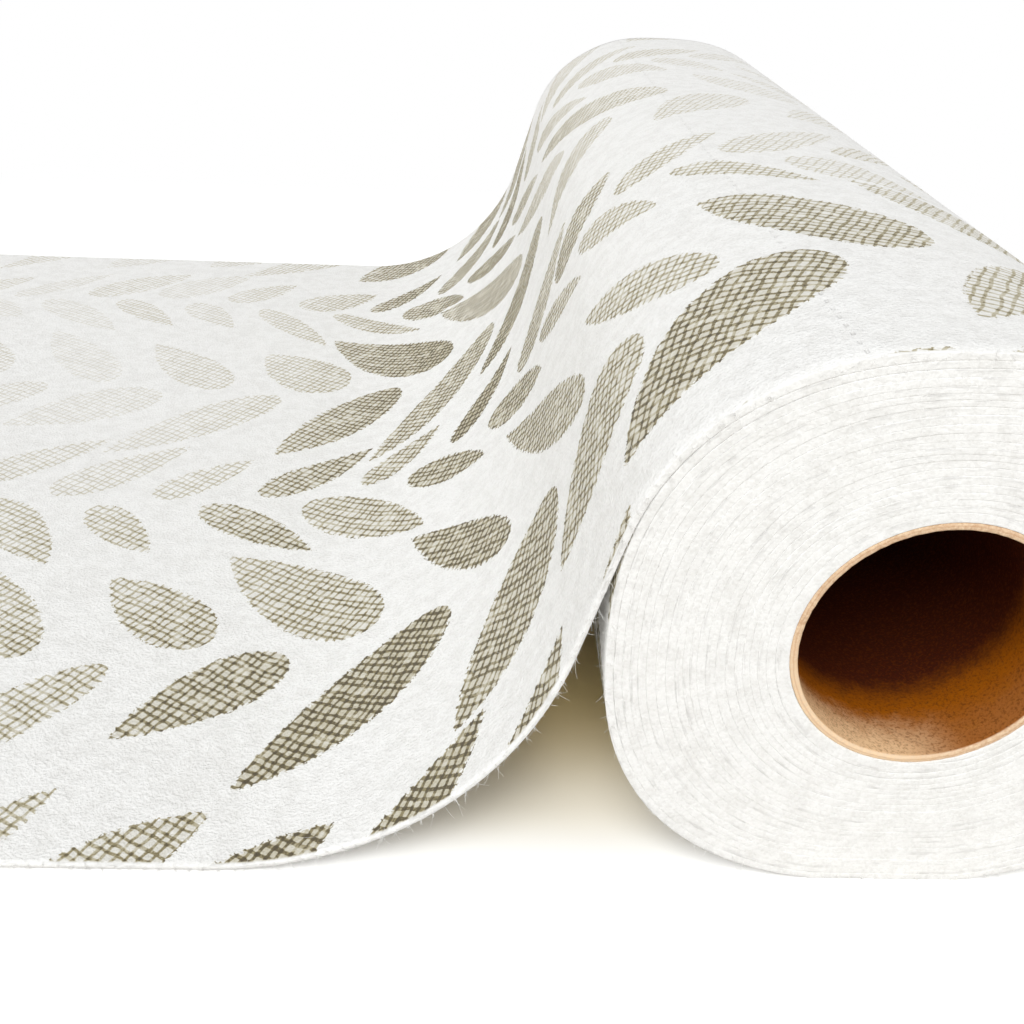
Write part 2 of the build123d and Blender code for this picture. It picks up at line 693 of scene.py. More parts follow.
@dataclass(frozen=True)
class CardFinish:
    """Brown kraft card, wound in a helix, with a paler cut rim. Deep inside, it is painted dark brown as
    shade; near its ends, one side is painted pale as a highlight.
    """

    painted_shade_brown: Colour = (0.062, 0.0095, 0.003)
    golden: Colour = (0.35, 0.096, 0.001)
    fleck_gold: Colour = (0.58, 0.24, 0.02)
    fleck_dark: Colour = (0.05, 0.015, 0.004)
    painted_highlight_tone: Colour = (0.98, 0.67, 0.38)
    rim: Colour = (0.84, 0.64, 0.44)
    pulp_scale: float = 420.0
    pulp_rub: Span = (0.5, 0.75)
    pulp_gold: float = 0.12
    speck_scale: float = 2300.0
    painted_glint_span: Span = (0.52, 0.34)
    painted_glint_share: float = 0.14  # of the painted shade's dark brown, how much the specks are painted lighter, as glints
    speck_dark: Span = (0.46, 0.72)
    dark_share: Span = (0.5, 0.1)  # how dark those are, on the bare wall and under the painted highlight
    strand_rates: tuple[float, float] = (160.0, 1.9)  # round the wall and along it
    strand_rub: Span = (0.6, 0.75)
    strand_gold: float = 0.08
    painted_edge_wander: float = 6.0 * MM  # how unevenly the painted shade and the painted highlight reach in from the ends
    painted_shade_reach: Span = (19.0 * MM, 10.0 * MM)  # from its ends, where the painted shade's dark brown turns golden
    painted_highlight_reach: Span = (11.0 * MM, 1.5 * MM)  # from its ends, where the wall is painted pale as a highlight
    painted_highlight_turn: float = 0.645  # where round the wall the painted highlight is strongest
    painted_highlight_arc: Span = (0.4, 0.95)  # by the cosine of the angle from there
    painted_highlight_least: float = 0.08  # how much of the painted highlight is left on the far side
    painted_highlight_specks: Span = (0.7, 0.35)
    painted_highlight_cover: Span = (0.72, 1.12)
    rim_edge: Span = (0.5 * MM, 0.12 * MM)  # from its ends, where the cut rim starts
    rim_cover: Span = (0.2, 1.4)
    ply_radius: float = 20.1 * MM  # of the seam between two plies, seen on the rim
    ply_wander: float = 0.3 * MM
    ply_edge: Span = (0.18 * MM, 0.04 * MM)
    ply_gold: float = 0.22
    ply_lead: float = 118.0  # millimetres along the tube for each turn of a ply's seam
    seam_edge: Span = (0.006, 0.002)  # of a turn
    seam_dark: float = 0.08
    gloss_span: Span = (0.62, 0.82)
    relief: tuple[float, float, float, float] = (0.7, 0.5, 0.4, 0.2)  # of pulp, specks, strands and seam
    relief_strength: float = 0.6
    relief_depth: float = 0.2 * MM

    def material(self, half_length: float) -> bpy.types.Material:
        """Makes the tube's material.

        Args:
            half_length: Half of the tube's length, in metres.

        Returns:
            The material.
        """
        material, graph = new_graph("kraft_card")
        point = graph.object_point()
        aside, along, up = graph.split(point)
        turn, length, _ = graph.uv_map("wall")
        pulp = graph.grain(point, self.pulp_scale, detail=4.0)
        specks = graph.grain(point, self.speck_scale, detail=2.0)
        strands_at = graph.pair(turn * self.strand_rates[0], length * self.strand_rates[1])
        strands = graph.grain(strands_at, 1.0, detail=3.0, space=GrainSpace.FLAT)
        seam = abs((turn + length / self.ply_lead).fraction() - 0.5).eased(*self.seam_edge)
        inset = half_length - abs(along) + (pulp - 0.5) * self.painted_edge_wander
        # Painted shade: deep inside, the wall is painted dark brown; within about 10 mm of each end it
        # keeps its golden colour. worn is 1 there and 0 in the painted shade.
        worn = inset.eased(*self.painted_shade_reach)
        # Specks in the painted shade are painted lighter, as glints.
        painted_lit_share = worn + (1 - worn) * specks.eased(*self.painted_glint_span) * self.painted_glint_share
        colour = graph.blend(painted_lit_share, self.painted_shade_brown, self.golden)
        rubbed = pulp.eased(*self.pulp_rub) * self.pulp_gold
        rubbed = rubbed + strands.eased(*self.strand_rub) * self.strand_gold
        colour = graph.blend(rubbed * worn, colour, self.fleck_gold)
        # Painted highlight: pale, pinkish card near the ends, strongest on one side, where the light falls
        # most.
        painted_highlight = inset.eased(*self.painted_highlight_reach) * self.painted_highlight_share(turn, specks)
        colour = graph.blend(painted_highlight, colour, self.painted_highlight_tone)
        dark = specks.eased(*self.speck_dark) * painted_highlight.spread(self.dark_share)
        colour = graph.blend(dark, colour, self.fleck_dark)
        colour = graph.blend(seam * self.seam_dark, colour, self.fleck_dark)
        rim_from, rim_to = (half_length - depth for depth in self.rim_edge)
        cut = abs(along).eased(rim_from, rim_to)
        colour = graph.blend(cut * specks.spread(self.rim_cover).least(1.0), colour, self.rim)
        reach = (aside * aside + up * up) ** 0.5
        ply = abs(reach - self.ply_radius + (pulp - 0.5) * self.ply_wander).eased(*self.ply_edge)
        colour = graph.blend(cut * ply * self.ply_gold, colour, self.golden)
        pulp_high, speck_high, strand_high, seam_low = self.relief
        height = pulp * pulp_high + specks * speck_high + strands * strand_high - seam * seam_low
        graph.surface(
            {
                "Base Color": colour,
                "Roughness": specks.spread(self.gloss_span),
                "Specular IOR Level": 0.12,
                "Normal": graph.bump(height, self.relief_strength, self.relief_depth),
            }
        )
        return material

    def painted_highlight_share(self, turn: Value, specks: Value) -> Value:
        """Finds how much of the wall's end is painted pale as a highlight.

        Args:
            turn: The place round the wall, in turns.
            specks: The card's finest grain.

        Returns:
            The share, largest on the side where the painted highlight is strongest.
        """
        facing = ((turn - self.painted_highlight_turn) * FULL_TURN).cosine().eased(*self.painted_highlight_arc)
        cover = specks.eased(*self.painted_highlight_specks).spread(self.painted_highlight_cover).least(1.0)
        return cover * facing.spread((self.painted_highlight_least, 1.0))


@dataclass(frozen=True)
class LintFinish:
    """Loose white fibre, a little clearer than the felt."""

    white: Colour = (0.96, 0.955, 0.94)
    dull: Colour = (0.8, 0.79, 0.76)
    tone_scale: float = 260.0
    tone_span: Span = (0.3, 0.7)
    dull_share: float = 0.3

    def material(self) -> bpy.types.Material:
        """Makes the lint's material, with a slow change of tone from fibre to fibre.

        Returns:
            The material.
        """
        material, graph = new_graph("loose_lint")
        tone = graph.grain(graph.object_point(), self.tone_scale).eased(*self.tone_span)
        colour = graph.blend(tone * self.dull_share, self.white, self.dull)
        graph.surface(
            {"Base Color": colour, "Roughness": 0.9, "Specular IOR Level": 0.15, "Sheen Weight": 0.2}
        )
        return material


@dataclass
class Winding:
    """The towel's path, seen along the axis: turns on the tube, then the tail. Lengths are in metres."""

    turns: int = 21
    roll_breadth: float = 94.0 * MM
    sheet_thickness: float = 1.0 * MM
    core_clearance: float = 0.05 * MM
    flat_spot: float = 24.0 * MM
    squareness: float = 0.4
    lift_deg: float = 160.0
    tail_drop: float = 20.0 * MM
    cluster: float = 0.011  # how unevenly the turns are packed
    cluster_rate: float = 19.0  # how often that comes and goes, from the tube to the outside
    cluster_sway: tuple[float, float] = (1.6, 0.9)  # how it changes round the roll, once and twice a turn
    cluster_lead: float = 0.7  # radians
    fill: float = 0.99  # share of a turn's pitch that the soft sheet swells to
    press: float = 0.04 * MM  # how far the first turn presses in on the tube's wall
    loosening: float = 0.1  # share of a turn in which the sheet eases off before the tail leaves
    leave_step: float = 0.002  # share of a turn that gives the tail its direction
    feather: float = 0.08  # share of a turn in which the towel thickens from its start
    start_thickness: float = 0.1  # of the sheet's, at its start

    def __post_init__(self) -> None:
        """Takes the outer sizes from the frame, and works out the rest."""
        low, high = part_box("towel_web")
        tube_low, tube_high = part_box("core_tube")
        self.first_radius = (tube_high[2] - tube_low[2]) / 2 + self.core_clearance
        self.floor_level = low[2]
        self.tail_end = low[0]
        self.half_width = (high[1] - low[1]) / 2
        self.rise_build = -self.floor_level - self.first_radius
        self.side_build = self.roll_breadth / 2 - self.first_radius
        self.thickness_share = self.sheet_thickness / self.side_build
        self.turn_share = (1 - self.thickness_share) / self.turns
        self.last_turn = self.turns + (self.lift_deg + 90) / 360  # turns start at the bottom
        self.plan_tail()

    def outline(self, turn: float, share: float) -> Vector:
        """A point of the wound section.

        Args:
            turn: Turns from the bottom, anticlockwise.
            share: 0 on the tube and 1 on the outermost full turn.

        Returns:
            The point, in the plane across the axis.
        """
        angle = FULL_TURN * turn - math.pi / 2
        along, up = math.cos(angle), math.sin(angle)
        once, twice = self.cluster_sway
        sway = once * math.sin(angle + self.cluster_lead) + twice * math.sin(2 * angle)
        loose = self.cluster * 4 * share * max(1 - share, 0.0)
        share += loose * math.sin(self.cluster_rate * share + sway)
        side = self.first_radius + self.side_build * share
        rise = self.first_radius + self.rise_build * share
        power = 2 + self.squareness * share
        lower = rise
        if up < 0:
            lower /= (1 - (self.flat_spot / 2 * abs(share) / side) ** power) ** (1 / power)
        reach = (abs(along / side) ** power + abs(up / lower) ** power) ** (-1 / power)
        if up < 0:
            reach = min(reach, rise / -up)
        return Vector((reach * along, reach * up))

    def wound(self, turn: float, face: float) -> Vector:
        """A point of the wound towel.

        Args:
            turn: Turns from the towel's start.
            face: 0 on the inner side and 1 on the printed side.

        Returns:
            The point, in the plane across the axis.
        """
        slack = smooth_step(self.last_turn - self.loosening, self.last_turn, turn)
        swell = self.fill * self.turn_share * (1 - slack) + self.thickness_share * slack
        printed = turn * self.turn_share + self.thickness_share
        on_tube = -self.press / self.side_build
        inner = on_tube if turn < 1 else printed - swell - self.thinned(turn - 1)
        printed -= self.thinned(turn)
        return self.outline(turn, inner + (printed - inner) * face)

    def thinned(self, turn: float) -> float:
        """How much the towel lacks of its thickness near its start, as a share of the build."""
        return (1 - self.start_thickness) * self.thickness_share * smooth_step(self.feather, 0.0, turn)

    def plan_tail(self) -> None:
        """Finds where the tail leaves the roll, its bend, and where it meets the floor."""
        self.leave = self.wound(self.last_turn, 1.0)
        before = self.wound(self.last_turn - self.leave_step, 1.0)
        self.way_down = (self.leave - before).normalized()
        height = self.floor_level + self.sheet_thickness
        fall = (height - self.leave.y) / self.way_down.y
        self.turn_angle = self.way_down.angle(Vector((-1, 0)))
        self.bend = (fall - self.tail_drop) / math.tan(self.turn_angle / 2)
        corner = self.leave + self.way_down * fall
        self.touch = corner - Vector((fall - self.tail_drop, 0))
        self.tail_length = self.tail_drop + self.bend * self.turn_angle + self.touch.x - self.tail_end

    def tail(self, run: float) -> tuple[Vector, Vector]:
        """A point of the tail's printed face.

        Args:
            run: Distance from where the tail leaves the roll.

        Returns:
            The point, and the printed face's outward normal there.
        """
        if run <= self.tail_drop:
            way = self.way_down
            return self.leave + way * run, Vector((way.y, -way.x))
        turned = (run - self.tail_drop) / self.bend
        if turned <= self.turn_angle:
            centre = self.touch + Vector((0, self.bend))
            spoke = self.turn_angle - turned
            normal = Vector((-math.sin(spoke), math.cos(spoke)))
            return centre - normal * self.bend, normal
        rest = run - self.tail_drop - self.bend * self.turn_angle
        return self.touch - Vector((rest, 0)), Vector((0, 1))


@dataclass
class Station:
    """One place along the towel, where its section across the width is drawn."""

    inner: Vector
    outer: Vector
    fine: bool  # whether it has columns across the width
    run: float = 0.0  # along the towel from its start
    end_share: float = 0.0  # 1 at the very end of the tail

    def outward(self) -> Vector:
        """The way from the inner side to the printed side."""
        return (self.outer - self.inner).normalized()


def make_piece(
    name: str,
    vertices: np.ndarray,
    faces: list[tuple[int, ...]],
    maps: dict[str, np.ndarray],
    material: bpy.types.Material,
    wraps: bool = False,
) -> bpy.types.Object:
    """Makes a smooth mesh object.

    Args:
        name: The piece's name.
        vertices: One point to a row.
        faces: Indices of each face's points.
        maps: For each UV map, one pair to a vertex.
        material: The piece's finish.
        wraps: Whether the first coordinate of the maps runs from 0 to 1 round a tube, and starts again.

    Returns:
        The object, linked to the scene.
    """
    mesh = bpy.data.meshes.new(name)
    mesh.from_pydata(vertices.tolist(), [], faces)
    corners = np.zeros(len(mesh.loops), dtype=np.int32)
    mesh.loops.foreach_get("vertex_index", corners)
    for map_name, pairs in maps.items():
        at_corners = pairs[corners].astype(np.float32)
        if wraps:
            for face in mesh.polygons:
                own = at_corners[list(face.loop_indices), 0]
                if own.max() - own.min() > 0.5:
                    at_corners[list(face.loop_indices), 0] = np.where(own < 0.5, own + 1.0, own)
        mesh.uv_layers.new(name=map_name).data.foreach_set("uv", at_corners.ravel())
    mesh.polygons.foreach_set("use_smooth", [True] * len(mesh.polygons))
    mesh.materials.append(material)
    mesh.update()
    piece = bpy.data.objects.new(name, mesh)
    bpy.context.scene.collection.objects.link(piece)
    return piece


@dataclass
class TowelSheet:
    """The towel: one closed, soft-edged sheet from the tube to the end of the tail."""

    winding: Winding
    finish: FeltFinish
    steps_per_turn: int = 72
    fine_steps_per_turn: int = 132
    fine_turns: float = 1.75  # how much of the outside is drawn with columns across the width
    tail_step: float = 2.2 * MM
    columns: int = 96
    edge_round: float = 0.7 * MM
    edge_opens: Span = (-8.0 * MM, 15.0 * MM)  # from where the tail leaves, where they become that round
    wound_edge_round: float = 0.03 * MM
    outer_edge_round: float = 0.07 * MM  # on the outermost turns
    groove_mean: float = 0.7  # of the wound edges' rounding, how much there is of it
    groove_least: float = 0.1
    groove_patch: Waver = Waver(75.0, 75.0, 2.8, 1.3)  # by the place on the roll's end
    groove_own: Waver = Waver(9.0, 6.3, 2.8, 0.6)  # along the towel
    stagger: float = 0.14 * MM  # how far the edges of the turns stand in or out at the roll's ends
    stagger_slow: Waver = Waver(2.1, 3.7, 0.4, 0.9)
    stagger_quick: Waver = Waver(31.0, 9.1, 5.2, 0.3)
    ripple: float = 0.3 * MM
    ripple_wide: Waver = Waver(16.0, 9.0, 1.3)
    ripple_close: Waver = Waver(75.0, 62.0, 7.9, 0.25)
    ripple_wound: float = 0.12  # how much of the wide ripple there is on the roll
    ripple_grows: float = 25.0 * MM  # how far along the tail it is whole
    peel: float = 6.0 * MM  # how far along the tail its inner side has come to ripple too
    crease: float = 0.45 * MM  # how far the perforation stands up where it crosses the roll
    crease_half: float = 13.0 * MM
    torn: float = 0.55 * MM
    torn_back: float = 0.7  # of that, how far the end is drawn back
    tear: Waver = Waver(410.0, 2.2, 0.0)
    end_angles_deg: tuple[float, ...] = (35.0, 65.0, 88.0)  # round the end of the tail
    end_stations: int = 5  # how many of the last stations the tear moves
    edge_profile: tuple[tuple[float, float], ...] = (
        (1.0, 0.0),
        (0.25, 0.05),
        (0.0, 0.16),
        (0.0, 0.5),
        (0.0, 0.84),
        (0.25, 0.95),
        (1.0, 1.0),
    )
    stations: list[Station] = field(default_factory=list)

    def build(self) -> bpy.types.Object:
        """Returns:
            The towel's object.
        """
        self.stations = self.wound_stations() + self.tail_stations()
        self.measure_runs()
        rings = [self.ring(station) for station in self.stations]
        vertices, places, sides = (np.concatenate(rows) for rows in zip(*rings))
        length = self.stations[-1].run
        material = self.finish.material(length / MM, self.winding.half_width / MM)
        piece = make_piece("towel_sheet", vertices, self.faces(), {"web": places, "side": sides}, material)
        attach(piece, "root")
        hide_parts("towel_web")
        return piece

    def wound_stations(self) -> list[Station]:
        """Steps along the turns, from the tube to where the tail leaves.

        Returns:
            The stations, with their runs still to be measured.
        """
        last = self.winding.last_turn
        split = last - self.fine_turns
        coarse = np.arange(0.0, split, 1 / self.steps_per_turn)
        fine = np.linspace(split, last, round(self.fine_turns * self.fine_steps_per_turn) + 1)
        made = []
        for turn in (*coarse, *fine):
            inner, outer = self.winding.wound(turn, 0.0), self.winding.wound(turn, 1.0)
            made.append(Station(inner, outer, turn >= split))
        return made

    def tail_stations(self) -> list[Station]:
        """Steps along the tail, closer together where its end is torn and rounded.

        Returns:
            The stations, with their runs still to be measured.
        """
        path = self.winding
        half = path.sheet_thickness / 2
        steps = round(path.tail_length / self.tail_step)
        made = []
        for run in np.linspace(0.0, path.tail_length - self.edge_round, steps)[1:]:
            outer, normal = path.tail(float(run))
            made.append(Station(outer - normal * path.sheet_thickness, outer, True))
        for angle_deg in self.end_angles_deg:
            angle = math.radians(angle_deg)
            outer, normal = path.tail(path.tail_length - self.edge_round * (1 - math.sin(angle)))
            middle = outer - normal * half
            rim = normal * half * math.cos(angle)
            made.append(Station(middle - rim, middle + rim, True))
        for back, station in enumerate(reversed(made[-self.end_stations:])):
            station.end_share = 1 - back / self.end_stations
        return made

    def measure_runs(self) -> None:
        """Sets how far along the towel each station is."""
        run = 0.0
        before = self.stations[0]
        for station in self.stations:
            run += (station.outer - before.outer).length
            station.run = run
            before = station

    def past_leave(self, station: Station) -> float:
        """How far along the tail a station is, below 0 on the roll."""
        return station.run - (self.stations[-1].run - self.winding.tail_length)

    def edge_shift(self, station: Station, end: RollEnd) -> float:
        """How far a turn's edge stands in from the end of the roll.

        Args:
            station: The place along the towel.
            end: Which edge of the towel.

        Returns:
            The distance.
        """
        slow = self.stagger_slow.at(station.run, end.value)
        quick = self.stagger_quick.at(station.run, end.value)
        return self.stagger * (0.5 + slow + quick)

    def edge_inset(self, station: Station) -> float:
        """How far in from its edges the sheet starts to round off.

        Args:
            station: The place along the towel.

        Returns:
            The distance, which changes in patches on the wound turns.
        """
        if station.fine:
            on_tail = smooth_step(*self.edge_opens, self.past_leave(station))
            return self.outer_edge_round + on_tail * (self.edge_round - self.outer_edge_round)
        patch = self.groove_patch.at(station.outer.x, station.outer.y)
        own = self.groove_own.at(station.run, 1.0)
        return self.wound_edge_round * max(self.groove_mean + patch + own, self.groove_least)

    def lift(self, station: Station, across: float) -> float:
        """How far the soft sheet stands off its even course.

        Args:
            station: The place along the towel.
            across: The place across the towel.

        Returns:
            The distance, outward from the printed face.
        """
        wide = self.ripple_wide.at(station.run, across)
        close = self.ripple_close.at(station.run, across)
        on_tail = smooth_step(0.0, self.ripple_grows, self.past_leave(station))
        share = self.ripple_wound + (1 - self.ripple_wound) * on_tail
        perforation = self.stations[-1].run - self.finish.sheet_length * MM
        folded = max(1 - abs(station.run - perforation) / self.crease_half, 0.0) * self.crease
        return self.ripple * (share * (0.5 + wide) + close) + folded

    def ring(self, station: Station) -> tuple[np.ndarray, np.ndarray, np.ndarray]:
        """Draws the towel's section at one station.

        Args:
            station: The place along the towel.

        Returns:
            The section's points, their places on the web in millimetres, and their sides of the sheet.
        """
        near = -self.winding.half_width + self.edge_shift(station, RollEnd.NEAR)
        far = self.winding.half_width - self.edge_shift(station, RollEnd.FAR)
        inset = self.edge_inset(station)
        spread = np.linspace(near + inset, far - inset, self.columns + 2)[1:-1] if station.fine else []
        section = [(near + share * inset, face) for share, face in self.edge_profile]
        section += [(across, 1.0) for across in spread]
        section += [(far - share * inset, face) for share, face in reversed(self.edge_profile)]
        section += [(across, 0.0) for across in reversed(spread)]
        through = station.outer - station.inner
        outward = station.outward()
        onward = Vector((-outward.y, outward.x))
        off_roll = smooth_step(0.0, self.peel, self.past_leave(station))
        points, places, sides = [], [], []
        for across, face in section:
            at = station.inner + through * face
            if station.fine:
                at = at + outward * (self.lift(station, across) * (face + (1 - face) * off_roll))
            if station.end_share:
                back = self.tear.at(across, 1.0) - self.torn_back
                at = at + onward * (station.end_share * self.torn * back)
            points.append((at.x, across, at.y))
            places.append((station.run / MM, across / MM))
            sides.append((face, 0.0))
        return np.array(points), np.array(places), np.array(sides)

    def faces(self) -> list[tuple[int, ...]]:
        """Joins each section to the next, and closes both ends of the towel.

        Returns:
            The faces, as indices of points.
        """
        edge = len(self.edge_profile)
        plain, full = 2 * edge, 2 * edge + 2 * self.columns
        made: list[tuple[int, ...]] = []
        start = 0
        for station, following in zip(self.stations, self.stations[1:]):
            size, next_size = (full if s.fine else plain for s in (station, following))
            here, there = start, start + size
            if size == next_size:
                for j in range(size):
                    k = (j + 1) % size
                    made.append((here + j, here + k, there + k, there + j))
            else:
                made += self.bridge(here, there, edge)
            start = there
        made.append(tuple(reversed(range(plain))))
        outer = [start + edge - 1 + j for j in range(self.columns + 2)]
        inner = [start]
        inner += [start + full - 1 - j for j in range(self.columns)]
        inner.append(start + 2 * edge + self.columns - 1)
        made += [(inner[j], outer[j], outer[j + 1], inner[j + 1]) for j in range(self.columns + 1)]
        made.append(tuple(start + j for j in range(edge)))
        made.append(tuple(start + edge + self.columns + j for j in range(edge)))
        return made

    def bridge(self, here: int, there: int, edge: int) -> list[tuple[int, ...]]:
        """Joins a plain section to the first one that has columns.

        Args:
            here: The plain section's first point.
            there: The full section's first point.
            edge: How many points round off an edge.

        Returns:
            The faces.
        """
        far = there + edge + self.columns
        made = [(here + j, here + j + 1, there + j + 1, there + j) for j in range(edge - 1)]
        made += [(here + edge + j, here + edge + j + 1, far + j + 1, far + j) for j in range(edge - 1)]
        across = [there + edge - 1 + j for j in range(self.columns + 2)]
        made.append((here + edge - 1, here + edge, *reversed(across)))
        below = [far + edge - 1 + j for j in range(self.columns + 1)] + [there]
        made.append((here + 2 * edge - 1, here, *reversed(below)))
        return made


@dataclass
class CoreTube:
    """The card tube, with a rough cut rim at both ends."""

    finish: CardFinish
    wall: float = 1.2 * MM
    pressed: float = 0.06 * MM  # how far the towel presses the wall's outer side in
    columns: int = 160
    rows: int = 40
    rim_soft: float = 0.16  # of the wall, how far the rim's corners are rounded
    rim_wear: float = 0.24 * MM
    corner_wear: float = 0.3  # of the rim's wear, where the rounding ends
    wear_rates: tuple[float, float] = (9.0, 400.0)  # across the tube, by its radius, and along it
    wear_reach: tuple[float, float] = (2.3, 0.5)  # how quickly and how far the rim wavers across the wall
    wear_along: tuple[float, float] = (3.1, 1.0)  # and along the tube
    worn_back: float = 0.4  # of its wear, how far the rim stands in

    def build(self) -> bpy.types.Object:
        """Makes and dresses the tube.

        Returns:
            The tube's object.
        """
        low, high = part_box("core_tube")
        radius = (high[2] - low[2]) / 2
        half = high[1]
        profile = self.profile(radius, half)
        points, places = [], []
        for column in range(self.columns):
            turn = column / self.columns
            angle = FULL_TURN * turn
            for reach, along, wear in profile:
                points.append(self.worn(angle, reach, along, wear * self.rim_wear))
                places.append((turn, along / MM))
        size = len(profile)
        faces = []
        for column in range(self.columns):
            here, there = column * size, (column + 1) % self.columns * size
            for j in range(size):
                k = (j + 1) % size
                faces.append((here + j, there + j, there + k, here + k))
        maps = {"wall": np.array(places)}
        material = self.finish.material(half)
        piece = make_piece("card_tube", np.array(points), faces, maps, material, wraps=True)
        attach(piece, "root")
        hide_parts("core_tube")
        return piece

    def worn(self, angle: float, reach: float, along: float, fray: float) -> tuple[float, float, float]:
        """Places a point of the wall, moved by the wear of the rim.

        Args:
            angle: Its angle round the axis.
            reach: Its distance from the axis.
            along: Its place along the axis.
            fray: How far wear moves it.

        Returns:
            The point.
        """
        across_rate, along_rate = self.wear_rates
        place = Vector((math.cos(angle) * across_rate, math.sin(angle) * across_rate, along * along_rate))
        rate, share = self.wear_reach
        reach += fray * share * noise.noise(place * rate)
        rate, share = self.wear_along
        inward = math.copysign(fray, along) * self.worn_back
        along += fray * share * noise.noise(place * rate) - inward
        return reach * math.cos(angle), along, reach * math.sin(angle)

    def profile(self, radius: float, half: float) -> list[tuple[float, float, float]]:
        """Draws the wall's section, round from the near rim.

        Args:
            radius: The tube's outer radius.
            half: Half of its length.

        Returns:
            Each point's distance from the axis, its place along it, and its share of the rim's wear.
        """
        bore, outside = radius - self.wall, radius - self.pressed
        soft = self.wall * self.rim_soft
        rim = [
            (bore, soft, self.corner_wear),
            (bore + soft, 0.0, 1.0),
            ((bore + outside) / 2, 0.0, 1.0),
            (outside - soft, 0.0, 1.0),
            (outside, soft, self.corner_wear),
        ]
        near = [(reach, -half + inset, wear) for reach, inset, wear in rim]
        far = [(reach, half - inset, wear) for reach, inset, wear in reversed(rim)]
        last_row = half - 3 * soft
        inside = [(bore, along, 0.0) for along in np.linspace(last_row, -last_row, self.rows)]
        return near + far + inside


@dataclass(frozen=True)
class FibreKind:
    """One kind of loose fibre."""

    count: int
    length: Span
    radius: float
    segments: int


